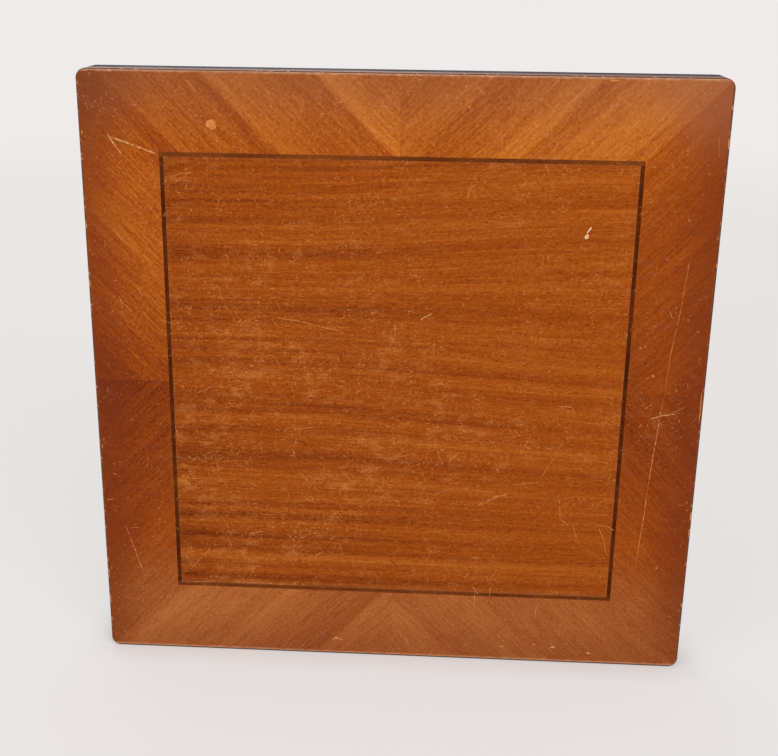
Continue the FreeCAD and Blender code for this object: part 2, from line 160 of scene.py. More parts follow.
blockboard, shader, place = new_finish("blockboard", Roughness=0.8, Specular_IOR_Level=0.2)
strip_edges = noise(place, (2, 0, 45), 0, 0)
strip_grain = noise(place, (5, 300, 500), 3)
tone = rise(strip_edges * 0.6 + strip_grain * 0.4, 0.3, 0.7)
shade(shader, Base_Color=blend(tone, coloured(166, 126, 84), coloured(203, 168, 120)))
shade(shader, Normal=relief(strip_grain, 0.2, 0.0003))
dress(blockboard, "top_core")


# Lippings: four mitred strips of solid mahogany glued round the core and rounded over with the
# veneer at the playing side. Their lacquer is dulled, dented and nicked along the arris, which
# painted shade darkens, and painted contact shade runs along the edge the table stands on.
SIDES = ("right", "upper", "left", "lower")
HALF_SIDE = 0.381
MIDDLE = HALF_SIDE  # height above the floor, since the table stands on its edge
SURFACE = -0.0285
LIPPING_BACK = -0.0095
GRAIN_STOPS = [
    (0.0, coloured(102, 31, 0)),
    (0.5, coloured(157, 71, 5)),
    (1.0, coloured(196, 110, 32)),
    (1.4, coloured(222, 140, 58)),
]
TONE_REACH = 1.4  # the lightest amount on these scales


def each_side(name):
    """Names of the four pieces of one kind."""
    return [name + "_" + side for side in SIDES]


def wood_tone(amount, stops=GRAIN_STOPS):
    """Mahogany colour for an amount from dark to golden."""
    stops = [(position / TONE_REACH, colour) for position, colour in stops]
    return amount.node("ShaderNodeValToRGB", {"stops": stops}, {"Fac": amount / TONE_REACH})


def from_middle(place):
    """How far right, back and up a place lies from the middle of the table."""
    right = place.node("ShaderNodeSeparateXYZ", {}, {"Vector": place}, out="X")
    return right, right.beside("Y"), right.beside("Z") - MIDDLE


lipping_finish, shader, place = new_finish("lipping_mahogany", Specular_IOR_Level=0.12)
_, back, upward = from_middle(place)
streaks = noise(place, (5, 520, 5), 3, 0.6)
fibre = noise(place, (60, 1400, 60), 2, 0.6)
patches = noise(place, (16, 16, 16), 4, 0.6)
arris = rise(back, SURFACE + 0.0048, SURFACE + 0.003)
nicks = rise(noise(place, (150, 150, 150), 2), 0.6, 0.68)
dents = rise(noise(place, (95, 95, 95), 3, 0.7), 0.66, 0.74)
# Darker towards the back edge of the lipping, where it meets the rail.
darker_toward_rail = rise(back + (patches - 0.5) * 0.006, LIPPING_BACK - 0.003, LIPPING_BACK)
brown = wood_tone(0.2 + (streaks - 0.5) * 0.9 + (fibre - 0.5) * 0.4 + (patches - 0.5) * 0.6)
brown = blend(0.25 + patches * 0.3, brown, coloured(92, 50, 30))
brown = blend(darker_toward_rail * 0.7, brown, coloured(44, 26, 18))
brown = blend(dents * 0.45, brown, coloured(176, 118, 80))
# Painted shade: the rounded arris is darkened as if turned away from the light; the pale nicks laid
# over it are real wear.
brown = blend(arris * 0.75, brown, coloured(92, 50, 32))
brown = blend(nicks * arris * 0.8, brown, coloured(196, 146, 112))
# Painted contact shade: the lowest few mm of the lower lipping, where the table stands on the
# floor, are darkened as if in shadow.
painted_contact_shade = rise(upward, 0.0026 - HALF_SIDE, 0.0014 - HALF_SIDE)
shade(shader, Base_Color=blend(painted_contact_shade * 0.8, brown, coloured(40, 22, 14)))
shade(shader, Roughness=0.28 + patches * 0.16 + arris * 0.3 + dents * 0.3)
shade(shader, Normal=relief(streaks - dents * 0.6, 0.15, 0.0003))
dress(lipping_finish, *each_side("lipping"))


# Backing veneer: one plain rotary-cut sheet on the underside that balances the face veneers,
# so the top stays flat. It was only wiped with stain, and has gone dry and dusty.
backing, shader, place = new_finish("backing_veneer", Roughness=0.7, Specular_IOR_Level=0.2)
slope = noise(place, (0.8, 1, 2.6), 1, 0.4)
waver = noise(place, (4, 1, 30), 3, 0.6)
rings = slope * 20 + waver * 1.1
rings = rings.maths("FRACT", rings)
late_wood = rise(rings, 0.45, 0.98) * 0.75
streaks = noise(place, (4, 1, 260), 3, 0.65)
pores = rise(noise(place, (70, 1, 900), 2, 0.6), 0.56, 0.72)
dust = rise(noise(place, (14, 14, 14), 4, 0.65), 0.5, 0.8)
stained = blend(rise(streaks, 0.3, 0.7), coloured(104, 68, 42), coloured(150, 106, 70))
stained = blend(late_wood, stained, coloured(86, 52, 30))
stained = blend(pores * 0.55, stained, coloured(58, 34, 20))
shade(shader, Base_Color=blend(dust * 0.22, stained, coloured(160, 146, 130)))
shade(shader, Roughness=0.6 + dust * 0.2)
shade(shader, Normal=relief(streaks - pores - late_wood, 0.25, 0.0002))
dress(backing, "backing_veneer")


# Field veneer: one quarter-sawn mahogany sheet, its ribbon stripe running from side to side,
# glued to the core and lacquered. Years of play left it hazed with short fine scratches.
FIELD_HALF = 0.281
BUSIEST = (-0.14, SURFACE, MIDDLE - 0.10)
DULL_STOPS = [
    (0.0, coloured(102, 32, 0)),
    (0.5, coloured(154, 71, 7)),
    (1.0, coloured(192, 108, 34)),
    (1.4, coloured(218, 141, 62)),
]
STRIPES = [  # height in mm above the middle, half width in mm, and how much lighter
    (269, 4, -0.08), (235, 5, 0.08), (228, 4, -0.08), (197, 5, 0.08), (165, 6, -0.11),
    (125, 5, 0.08), (99, 7, -0.12), (33, 6, -0.10), (24, 4, 0.08), (-33, 6, -0.21),
    (-50, 4, 0.08), (-73, 5, 0.08), (-98, 6, -0.21), (-117, 4, -0.12), (-131, 7, 0.14),
    (-164, 4, -0.08), (-181, 5, -0.12), (-194, 4, 0.08), (-210, 5, -0.17), (-229, 4, -0.12),
    (-240, 6, 0.17), (-269, 5, -0.20),
]
STRIPE_RISE = [  # height above the middle, and how far the stripes climb towards the right
    (-0.27, 0.0), (-0.15, -0.006), (-0.04, -0.020), (0.04, -0.018),
    (0.10, 0.0), (0.17, 0.022), (0.27, 0.018),
]


def to_edge(right, upward):
    """Distance from the middle of the table towards its nearest edge."""
    return right.maths("MAXIMUM", abs(right), abs(upward))


def distance(place, point):
    """Distance from a point."""
    return place.node("ShaderNodeVectorMath", {"operation": "DISTANCE"}, {
        0: place, 1: point,
    }, out="Value")


def ramp(amount, stops):
    """Value along straight runs between stops, which are places and values from 0 to 1."""
    stops = [(at, (value, value, value, 1.0)) for at, value in stops]
    level = amount.node("ShaderNodeValToRGB", {"stops": stops}, {"Fac": amount})
    return level.node("ShaderNodeSeparateColor", {}, {"Color": level}, out="Red")


def wood_grain(place, turn, shift):
    """Bands, streaks, fibres, grit and pores of sliced timber, its length turned from X about Y."""
    laid = place.node("ShaderNodeMapping", {}, {
        "Vector": place, "Location": shift, "Rotation": (0, turn, 0),
    })
    wander = noise(laid, (1.6, 1, 3.5), 2) * 0.03
    sway = wander.node("ShaderNodeCombineXYZ", {}, {"Z": wander})
    laid = sway.node("ShaderNodeVectorMath", {"operation": "ADD"}, {0: laid, 1: sway})
    broad = noise(laid, (1.1, 1, 48), 2)
    streak = noise(laid, (7, 1, 150), 3, 0.6)
    fibre = noise(laid, (34, 1, 420), 2, 0.6)
    grit = noise(laid, (240, 1, 340), 2, 0.6)
    pore = rise(noise(laid, (110, 1, 560), 1), 0.58, 0.72)
    return broad, streak, fibre, grit, pore


def scratches(place, cell, length, width, share, seed):
    """Mask of short straight scratches lying every way, at most one in each cell."""
    flat = place.node("ShaderNodeMapping", {}, {
        "Vector": place, "Location": (seed, 0, 0), "Rotation": (math.pi / 2, 0, 0),
    })
    spot = flat.node("ShaderNodeTexVoronoi", {"voronoi_dimensions": "2D"}, {
        "Vector": flat, "Scale": 1 / cell, "Randomness": 1.0,
    }, out="Position")
    chance = spot.node("ShaderNodeSeparateColor", {}, {"Color": spot.beside("Color")}, out="Red")
    near = spot.node("ShaderNodeVectorMath", {"operation": "SUBTRACT"}, {0: flat, 1: spot})
    right = near.node("ShaderNodeSeparateXYZ", {}, {"Vector": near}, out="X")
    up = right.beside("Y")
    angle = chance * math.tau
    turn_x, turn_y = angle.maths("COSINE", angle), angle.maths("SINE", angle)
    along = abs(right * turn_x + up * turn_y)
    across = abs(up * turn_x - right * turn_y)
    half = (chance.beside("Green") * 0.7 + 0.3) * (length / 2)
    inside = rise(across, width, width * 0.3) * rise(along / half, 1.0, 0.6)
    strength = chance.beside("Green") * chance.beside("Green") * 0.75 + 0.25
    return inside * rise(chance.beside("Blue") - share, 0.02, -0.02) * strength


def handled(place, amount):
    """Fine marks of use on the lacquer, three sizes of them, in clumps, with a dull haze."""
    busy = rise(noise(place, (8, 8, 8), 3, 0.6), 0.36, 0.66) * amount
    clump = busy * rise(noise(place, (42, 42, 42), 2), 0.40, 0.60)
    long_marks = scratches(place, 0.024, 0.022, 0.0008, clump * 0.45 + 0.02, 5.3)
    short_marks = scratches(place, 0.0068, 0.0058, 0.0009, clump * 0.8 + amount * 0.05, 3.1)
    specks = scratches(place, 0.0034, 0.0024, 0.0009, clump * 0.7 + amount * 0.02, 7.7)
    haze = rise(noise(place, (46, 46, 95), 4, 0.7), 0.48, 0.70) * busy
    marks = long_marks * 0.42 + short_marks * 0.46 + specks * 0.46 + haze * 0.23
    return marks.maths("MINIMUM", marks, 0.8)


field, shader, place = new_finish("field_mahogany", Specular_IOR_Level=0.07)
right, _, upward = from_middle(place)
lifts = [(0.5 + height, 0.5 + lift * 10) for height, lift in STRIPE_RISE]
bend = (ramp(upward + 0.5, lifts) - 0.5) * 0.1 * rise(right, -0.16, 0.30)
bent = bend.node("ShaderNodeCombineXYZ", {}, {"Z": bend})
laid = bent.node("ShaderNodeVectorMath", {"operation": "SUBTRACT"}, {0: place, 1: bent})
broad, streak, fibre, grit, pore = wood_grain(laid, 0.0, (3.7, 0, 1.9))
level = upward - bend + (noise(place, (3, 1, 5), 2) - 0.5) * 0.02
fading = 1 - rise(right, -0.1, 0.28) * 0.5
thread = noise(laid, (1.5, 1, 190), 3, 0.65)
gleam = rise(noise(laid, (1.1, 1, 150), 2, 0.6), 0.57, 0.70)
tone = 0.445 + (broad - 0.5) * 0.3 + (streak - 0.5) * 0.35 + (fibre - 0.5) * 0.4
tone = tone + (thread - 0.5) * (0.2 + fading * 0.45) + (grit - 0.5) * 0.7
tone = tone + gleam * 0.12 - pore * 0.24
for centre, half_width, strength in STRIPES:
    step = (level - centre / 1000) / (half_width / 1000)
    tone = tone + rise(abs(step), 1.7, 0.1) * fading * strength
tone = tone + rise(right, -0.28, 0.2) * 0.085 - rise(right, -0.20, -0.27) * 0.07
seat = rise(distance(place, BUSIEST), 0.36, 0.06)
dashes = rise(noise(laid, (80, 1, 520), 2, 0.7), 0.57, 0.72) * (0.2 + seat * 0.16)
marks = handled(place, 0.8 + seat * 0.7) + dashes
ruddy = rise(noise(place, (2.4, 1, 2.4), 2) + right * 0.4, 0.42, 0.66)
wood = blend(ruddy * 0.6, wood_tone(tone, DULL_STOPS), wood_tone(tone))
hem = rise(to_edge(right, upward), FIELD_HALF - 0.005, FIELD_HALF + 0.001) * 0.14
hem = hem + rise(upward, 0.009 - FIELD_HALF, -FIELD_HALF) * 0.18
wood = blend(hem, wood, coloured(122, 78, 54))
shade(shader, Base_Color=blend(marks, wood, coloured(216, 142, 74)))
shade(shader, Roughness=0.4 + marks * 0.3 + (streak - 0.5) * 0.1)
shade(shader, Normal=relief(streak * 0.5 - pore * 0.4 - marks, 0.12, 0.0002))
dress(field, "field_veneer")


# Stringing: four thin strips of black-stained hardwood let in between field and border and
# mitred at the corners. The stain has faded to brown, most of all in the upper and lower strips.
stringing, shader, place = new_finish("stringing", Specular_IOR_Level=0.05)
_, _, upward = from_middle(place)
fade = noise(place, (11, 1, 11), 3, 0.6)
fibre = noise(place, (260, 1, 260), 2)
tone = rise(fade * 0.7 + fibre * 0.3, 0.35, 0.75)
dark = blend(tone, coloured(64, 22, 0), coloured(106, 48, 6))
faded = blend(tone, coloured(92, 42, 8), coloured(136, 68, 24))
dark = blend(rise(abs(upward), FIELD_HALF - 0.0015, FIELD_HALF + 0.0005), dark, faded)
shade(shader, Base_Color=blend(handled(place, 0.4), dark, coloured(190, 124, 70)))
shade(shader, Roughness=0.4 + tone * 0.2)
shade(shader, Normal=relief(fibre, 0.15, 0.0002))
dress(stringing, "stringing")


# Border leaves: eight pieces of the same mahogany with the grain laid towards the corners,
# mitred there and butted at the middle of each side. Each leaf keeps its own stripes and tone.
# Paler, greyer tones that paint a reflection and sheen into the lower and upper leaves.
PAINTED_SHEEN_STOPS = [
    (0.0, coloured(108, 46, 14)),
    (0.5, coloured(155, 80, 32)),
    (1.0, coloured(192, 116, 58)),
    (1.4, coloured(218, 146, 86)),
]
CORNER_DISTANCE = 270  # mm from the mitre to the far corner of a leaf
RIBBON_EDGE = 6  # mm in which one ribbon passes into the next
LOWER_RUB = 0.0018  # how much wider the lower arris is rubbed
CORNER_STAIN = [  # place, amount and colour
    ((-HALF_SIDE, SURFACE, MIDDLE + HALF_SIDE), 0.75, coloured(119, 58, 32)),
    ((HALF_SIDE, SURFACE, MIDDLE + HALF_SIDE), 0.6, coloured(160, 94, 60)),
]
MARGIN_STAIN = {  # amount and colour
    "upper": (0.3, coloured(136, 74, 42)),
    "right": (0.65, coloured(118, 46, 12)),
    "lower": (0.3, coloured(124, 54, 28)),
    "left": (0.65, coloured(118, 46, 12)),
}
LEAVES = {  # turn of the grain, seed, crispness and ribbons
    "upper_left": (-45, 14, 1.35, [  # mm from the mitre, first tone and last tone
        (0, 0.42, 0.46), (18, 0.68, 0.50), (106, 0.82, 0.72),
        (132, 0.64, 0.56), (200, 0.92, 0.80), (232, 0.68, 0.66),
    ]),
    "upper_right": (45, 14, 1.4, [
        (0, 0.77, 0.72), (18, 0.88, 0.84), (75, 0.82, 0.66),
        (107, 0.96, 0.82), (130, 0.74, 0.54), (191, 0.74, 0.60),
    ]),
    "right_upper": (45, 14, 1.05, [(0, 0.59, 0.38), (100, 0.43, 0.36), (208, 0.39, 0.27)]),
    "right_lower": (-45, 15, 1.05, [(0, 0.60, 0.26), (188, 0.32, 0.26)]),
    "lower_right": (-45, 15, 1.0, [
        (0, 0.55, 0.59), (34, 0.66, 0.57), (124, 0.69, 0.62), (211, 0.73, 0.64),
    ]),
    "lower_left": (45, 13, 1.15, [
        (0, 0.57, 0.62), (16, 0.76, 0.69), (106, 0.78, 0.70), (132, 0.62, 0.50), (198, 0.69, 0.58),
    ]),
    "left_lower": (45, 13, 1.05, [(0, 0.54, 0.24), (170, 0.30, 0.04)]),
    "left_upper": (-45, 14, 1.5, [(0, 0.55, 0.69), (118, 0.62, 0.42), (214, 0.31, 0.20)]),
}

for leaf, (turn, seed, crispness, ribbons) in LEAVES.items():
    finish, shader, place = new_finish("border_mahogany_" + leaf, Specular_IOR_Level=0.1)
    broad, streak, fibre, grit, pore = wood_grain(place, math.radians(turn), (seed, 0, seed * 1.7))
    right, _, upward = from_middle(place)
    from_mitre = abs(abs(right) - abs(upward)) * math.sqrt(0.5)
    ripple = (noise(place, (9, 1, 9), 2) - 0.5) * 0.010
    ends = [start for start, _, _ in ribbons[1:]] + [CORNER_DISTANCE + RIBBON_EDGE]
    stops = []
    for (start, first, last), end in zip(ribbons, ends):
        stops.append((start / CORNER_DISTANCE, first))
        stops.append(((end - RIBBON_EDGE) / CORNER_DISTANCE, last))
    banded = ramp((from_mitre + ripple) * 1000 / CORNER_DISTANCE, stops)
    grain = (broad - 0.5) * 0.15 + (streak - 0.5) * 0.45 + (fibre - 0.5) * 0.5
    grain = grain + (grit - 0.5) * 0.65 - pore * 0.14
    tone = banded + grain * crispness
    # Painted reflection: the leaves turn paler and greyer towards the lower edge, as the pale floor
    # mirrored in the lacquer, and towards the upper edge as painted sheen.
    low, high = rise(upward, -0.20, -0.31), rise(upward, 0.28, 0.40) * 0.9
    wood = blend(low + high, wood_tone(tone), wood_tone(tone, PAINTED_SHEEN_STOPS))
    cloud = (noise(place, (12, 12, 12), 3) - 0.5) * 0.05
    reach = to_edge(right, upward)
    amount, stain_colour = MARGIN_STAIN[leaf.split("_")[0]]
    margin = rise(reach + cloud, HALF_SIDE - 0.066, HALF_SIDE - 0.001)
    wood = blend(margin * amount, wood, stain_colour)
    for corner, amount, stain_colour in CORNER_STAIN:
        near_corner = rise(distance(place, corner) + cloud, 0.12, 0.02)
        wood = blend(near_corner * amount, wood, stain_colour)
    wood = blend(handled(place, 0.3), wood, coloured(214, 152, 96))
    arris = rise(reach, HALF_SIDE - 0.0034, HALF_SIDE - 0.0018)
    scuffed = noise(place, (130, 130, 130), 3, 0.6)
    to_rub = upward.maths("MAXIMUM", upward, LOWER_RUB - upward) + (scuffed - 0.5) * 0.004
    rubbed = rise(to_rub, HALF_SIDE - 0.0042, HALF_SIDE - 0.0010) * 0.75
    # Painted contact shade: a dark line along the arris of the lower leaves, just above the floor.
    painted_contact_shade = rise(upward, 0.0032 - HALF_SIDE, 0.0022 - HALF_SIDE) * 0.85
    chipped = rise(scuffed, 0.55, 0.66)
    wood = blend(rubbed, wood, coloured(204, 148, 110))
    pale = rubbed.maths("MAXIMUM", rubbed, chipped)
    # Painted shade: where the arris is neither rubbed nor chipped it is dark brown, which shows
    # along the left and right edges; the pale rubbed and chipped parts are real wear.
    arris_wear_and_shade = blend(pale, coloured(112, 64, 40), coloured(204, 150, 112))
    shade(shader, Base_Color=blend(painted_contact_shade, blend(arris, wood, arris_wear_and_shade), coloured(44, 22, 12)))
    shade(shader, Roughness=0.4 + (streak - 0.5) * 0.1 + arris * 0.2)
    shade(shader, Normal=relief(streak * 0.5 - pore * 0.4, 0.12, 0.0002))
    dress(finish, "border_veneer_" + leaf)


# Wear on the face: scratches through the lacquer, dents and chips from years of play. Each is
# a thin pale or dark ribbon or spot that lies in the surface, drawn in mm from the middle.
HAIRLINES, CURL_STEPS = 75, 6
HAIRLINE_REACH, HAIRLINE_HALF_WIDTH = 255, 0.45
STROKE_SPREAD = 1.35  # makes up for what the gaps in a stroke take away
SCRATCHES = [  # half width in mm, paleness, and the points of the stroke
    (1.1, 0.92, [(-345, 303), (-318, 294), (-288, 283)]),
    (1.0, 0.90, [(-347, 307), (-342, 298), (-330, 281)]),
    (0.6, 0.74, [(-198, 310), (-192, 308)]),
    (0.5, 0.64, [(-319, 340), (-309, 340)]),
    (0.5, 0.64, [(-314, 327), (-314, 322)]),
    (0.5, 0.74, [(-28, 343), (-13, 343)]),
    (0.9, 0.88, [(-294, 376), (-293, 371)]),
    (0.7, 0.74, [(-273, 257), (-260, 261), (-245, 262)]),
    (0.5, 0.84, [(18, 376), (21, 373), (25, 375)]),
    (0.5, 0.74, [(204, 367), (207, 370)]),
    (0.5, 0.49, [(367, 316), (370, 292)]),
    (0.6, 0.88, [(225, 202), (229, 209)]),
    (0.8, 0.88, [(29, 88), (34, 92), (44, 97)]),
    (0.5, 0.64, [(173, 173), (174, 160)]),
    (0.5, 0.49, [(231, 100), (243, 109)]),
    (0.5, 0.64, [(4, 164), (12, 170)]),
    (0.5, 0.64, [(87, 261), (92, 258)]),
    (1.1, 0.56, [(-153, 89), (-142, 85), (-116, 82), (-88, 75), (-67, 71)]),
    (0.6, -0.3, [(-46, 192), (-39, 182)]),
    (0.6, -0.3, [(-40, 148), (-34, 138)]),
    (0.5, 0.64, [(-10, 234), (-1, 237)]),
    (0.6, 0.74, [(-353, -201), (-343, -233), (-331, -274)]),
    (0.5, 0.64, [(-347, -205), (-334, -204)]),
    (1.3, 0.88, [(-80, -360), (-74, -357), (-65, -360)]),
    (0.5, 0.64, [(-217, -61), (-216, -70), (-205, -75)]),
    (0.8, -0.4, [(-125, -73), (-108, -82)]),
    (0.7, 0.84, [(-130, -88), (-127, -98)]),
    (0.7, 0.70, [(-120, -119), (-113, -128), (-106, -138)]),
    (0.5, 0.52, [(-150, -134), (-139, -141), (-136, -152), (-140, -162)]),
    (0.5, 0.64, [(-66, -116), (-54, -129)]),
    (0.6, 0.74, [(-188, -206), (-169, -203)]),
    (0.5, 0.64, [(-174, -206), (-171, -221)]),
    (0.8, -0.35, [(-4, -238), (8, -250)]),
    (0.7, 0.66, [(-278, -283), (-248, -279), (-217, -278), (-130, -280)]),
    (0.6, 0.64, [(-268, -262), (-254, -245), (-240, -230)]),
    (0.6, 0.68, [(-216, -215), (-213, -226), (-216, -234)]),
    (0.5, 0.62, [(349, 176), (346, 156), (342, 106), (335, 52), (332, -1)]),
    (0.65, 0.74, [(332, -1), (329, -26), (326, -67), (322, -121), (320, -164), (315, -233)]),
    (0.7, 0.88, [(317, -32), (329, -27), (348, -24)]),
    (0.6, 0.79, [(202, -146), (212, -145), (214, -171), (227, -181)]),
    (0.6, 0.74, [(262, -178), (276, -180), (284, -185)]),
    (0.6, 0.69, [(264, -181), (272, -200), (277, -222)]),
    (0.5, 0.69, [(231, -180), (238, -201)]),
    (0.5, 0.54, [(232, -198), (271, -228)]),
    (0.9, 0.82, [(106, -157), (139, -140), (145, -144)]),
    (0.7, 0.74, [(128, -143), (146, -139)]),
    (0.6, 0.74, [(150, -126), (183, -122)]),
    (0.6, 0.62, [(183, -122), (203, -85), (212, -62)]),
    (0.6, 0.64, [(54, -84), (62, -102)]),
    (0.6, 0.74, [(203, -18), (221, -19), (223, -32)]),
    (0.9, 0.80, [(110, -275), (108, -298)]),
    (0.7, 0.80, [(105, -272), (114, -284)]),
    (0.6, 0.69, [(130, -269), (128, -287)]),
    (0.5, 0.74, [(-342, 190), (-339, 182), (-335, 178)]),
    (0.6, 0.74, [(-345, 110), (-340, 100), (-326, 88)]),
    (0.5, 0.74, [(-319, 116), (-314, 111), (-317, 108)]),
    (0.5, 0.64, [(-350, 128), (-344, 128)]),
    (0.6, 0.74, [(-376, -165), (-366, -165)]),
]
SPOTS = [  # place to the right and up, half width, half height, turn, paleness
    (-223, 320, 6.2, 4.6, 0.3, 0.74),
    (-221, 317, 4.6, 4.2, -0.6, 0.66),
    (80, 344, 1.3, 1.3, 0.0, 0.7),
    (224, 196, 3.2, 2.4, 1.1, 1.04),
    (226.5, 204, 4.6, 0.8, 1.0, 1.2),
    (244, 376.5, 5.0, 1.0, 0.1, 0.7),
    (377.5, -14, 0.8, 20.0, 0.0, 0.6),
    (215, -358, 3.0, 1.2, 0.2, 0.9),
    (263, -365, 2.6, 1.3, -0.3, 0.85),
    (190, -355, 2.2, 1.2, 0.6, 0.75),
    (148, -360, 2.4, 1.0, 0.1, 0.75),
    (342, -236, 1.4, 1.4, 0.0, 0.75),
    (298, 60, 1.3, 1.2, 0.0, 0.7),
    (316, 25, 1.3, 1.3, 0.0, 0.75),
    (-377, 307, 0.7, 2.4, 0.0, 0.6),
    (-377, -91, 0.7, 3.0, 0.0, 0.6),
]


def hairlines(count):
    """Loose curls of hairline scratches, closest about the busiest place."""
    chance = random.Random(11)
    curls = []
    while len(curls) < count:
        right = chance.gauss(BUSIEST[0] * 1000, 170)
        up = chance.gauss((BUSIEST[2] - MIDDLE) * 1000, 150)
        radius = chance.uniform(6, 34)
        start, sweep = chance.uniform(0, math.tau), chance.uniform(0.2, 0.9)
        squash = chance.uniform(0.4, 1.0)
        paleness = chance.uniform(0.4, 0.72)
        if max(abs(right), abs(up)) < HAIRLINE_REACH:
            turns = [start + sweep * step / CURL_STEPS for step in range(CURL_STEPS + 1)]
            curl = [
                (right + radius * math.cos(turn), up + radius * squash * math.sin(turn))
                for turn in turns
            ]
            curls.append((HAIRLINE_HALF_WIDTH, paleness, curl))
    return curls


def new_tree(name, **sizes):
    """A node tree with a mesh input and one named input for each size."""
    tree = bpy.data.node_groups.new(name, "GeometryNodeTree")
    tree.interface.new_socket("Mesh", in_out="INPUT", socket_type="NodeSocketGeometry")
    for size, value in sizes.items():
        socket = tree.interface.new_socket(size, in_out="INPUT", socket_type="NodeSocketFloat")
        socket.default_value = value
    tree.interface.new_socket("Mesh", in_out="OUTPUT", socket_type="NodeSocketGeometry")
    inputs = tree.nodes.new("NodeGroupInput").outputs
    return tree, [Wire(inputs[name]) for name in ("Mesh", *sizes)]


def end_tree(shape, finish):
    """Realizes a tree's shape, gives it a finish and leads it out."""
    tree = shape.socket.id_data
    shape = shape.node("GeometryNodeRealizeInstances", {}, {"Geometry": shape})
    shape = shape.node("GeometryNodeSetMaterial", {}, {"Geometry": shape, "Material": finish})
    tree.links.new(shape.socket, tree.nodes.new("NodeGroupOutput").inputs["Mesh"])


def new_object(name, data):
    """An object at the origin, linked to the scene."""
    made = bpy.data.objects.new(name, data)
    bpy.context.scene.collection.objects.link(made)
    return made


def grow(name, points, edges, columns, tree, **sizes):
    """Plain mesh piece that a tree makes from points, their columns of values and edges."""
    seed_mesh = bpy.data.meshes.new(name + "_seed")
    seed_mesh.from_pydata(points, edges, [])
    for key, values in columns.items():
        seed_mesh.attributes.new(key, "FLOAT", "POINT").data.foreach_set("value", values)
    seed = new_object(name + "_seed", seed_mesh)
    modifier = seed.modifiers.new("grow", "NODES")
    modifier.node_group = tree
    for socket in tree.interface.items_tree:
        if socket.name in sizes:
            modifier[socket.identifier] = sizes[socket.name]
    evaluated = seed.evaluated_get(bpy.context.evaluated_depsgraph_get())
    mesh = bpy.data.meshes.new_from_object(evaluated)
    bpy.data.objects.remove(seed)
    mesh.name = name
    return new_object(name, mesh)


def column(wire, name):
    """Value of a named column at each point."""
    return wire.node("GeometryNodeInputNamedAttribute", {"data_type": "FLOAT"}, {
        "Name": name,
    }, out="Attribute")


def unsteady(position, scale, amount):
    """Random offset in the plane of the face."""
    cloud = position.node("ShaderNodeTexNoise", {}, {
        "Vector": position, "Scale": scale, "Detail": 2.0,
    }, out="Color")
    centred = cloud.node("ShaderNodeVectorMath", {"operation": "SUBTRACT"}, {
        0: cloud, 1: (0.5, 0.5, 0.5),
    })
    size = amount.node("ShaderNodeCombineXYZ", {}, {"X": amount, "Y": amount})
    return size.node("ShaderNodeVectorMath", {"operation": "MULTIPLY"}, {0: centred, 1: size})


def onto_face(shape):
    """Turns a flat drawing upright and sets it on the playing surface."""
    return shape.node("GeometryNodeTransform", {}, {
        "Geometry": shape, "Translation": (0, SURFACE, MIDDLE), "Rotation": (math.pi / 2, 0, 0),
    })


worn_wood, shader, place = new_finish("worn_wood", Roughness=0.6, Specular_IOR_Level=0.1)
paleness = place.node("ShaderNodeAttribute", {"attribute_name": "paleness"}, {}, out="Fac")
speckle = noise(place, (320, 320, 320), 2)
tone = paleness * 0.5 + 0.5 + (speckle - 0.5) * 0.4
shade(shader, Base_Color=wood_tone(tone, [
    (0.0, coloured(48, 20, 6)),
    (0.5, coloured(158, 74, 12)),
    (0.75, coloured(188, 104, 42)),
    (0.93, coloured(212, 138, 76)),
    (1.0, coloured(226, 168, 112)),
    (1.15, coloured(238, 220, 200)),
]))
shade(shader, Normal=relief(speckle, 0.2, 0.0002))

tree, (strokes, step, waver, thickness) = new_tree(
    "scratch_ribbons", Step=0.002, Waver=0.001, Thickness=0.1,
)
curve = strokes.node("GeometryNodeMeshToCurve", {}, {"Mesh": strokes})
curve = curve.node("GeometryNodeResampleCurve", {"mode": "LENGTH"}, {
    "Curve": curve, "Length": step,
})
curve = curve.node("GeometryNodeSetCurveNormal", {"mode": "Z_UP"}, {"Curve": curve})
position = curve.node("GeometryNodeInputPosition")
curve = curve.node("GeometryNodeSetPosition", {}, {
    "Geometry": curve, "Offset": unsteady(position, 90.0, waver),
})
along = curve.node("GeometryNodeSplineParameter", {}, {}, out="Factor")
taper = rise(along * (1 - along), -0.02, 0.12)
gaps = position.node("ShaderNodeTexNoise", {}, {
    "Vector": position, "Scale": 260.0, "Detail": 2.0,
})
width = column(curve, "half_width") * taper * (0.12 + rise(gaps, 0.34, 0.6) * 0.8)
section = curve.node("GeometryNodeCurvePrimitiveCircle", {"mode": "RADIUS"}, {
    "Resolution": 4, "Radius": 1.0,
})
flat = thickness.node("ShaderNodeCombineXYZ", {}, {"X": 1.0, "Y": thickness, "Z": 1.0})
section = section.node("GeometryNodeTransform", {}, {"Geometry": section, "Scale": flat})
ribbon = curve.node("GeometryNodeCurveToMesh", {}, {
    "Curve": curve, "Profile Curve": section, "Scale": width, "Fill Caps": True,
})
end_tree(onto_face(ribbon), worn_wood)
points, edges, columns = [], [], {"half_width": [], "paleness": []}
for half_width, paleness, stroke in SCRATCHES + hairlines(HAIRLINES):
    first = len(points)
    points += [(right / 1000, up / 1000, 0) for right, up in stroke]
    edges += [(first + count, first + count + 1) for count in range(len(stroke) - 1)]
    columns["half_width"] += [half_width * STROKE_SPREAD / 1000] * len(stroke)
    columns["paleness"] += [paleness] * len(stroke)
face_scratches = grow(
    "face_scratches", points, edges, columns, tree, Step=0.002, Waver=0.0012, Thickness=0.08,
)
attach(face_scratches, "table")

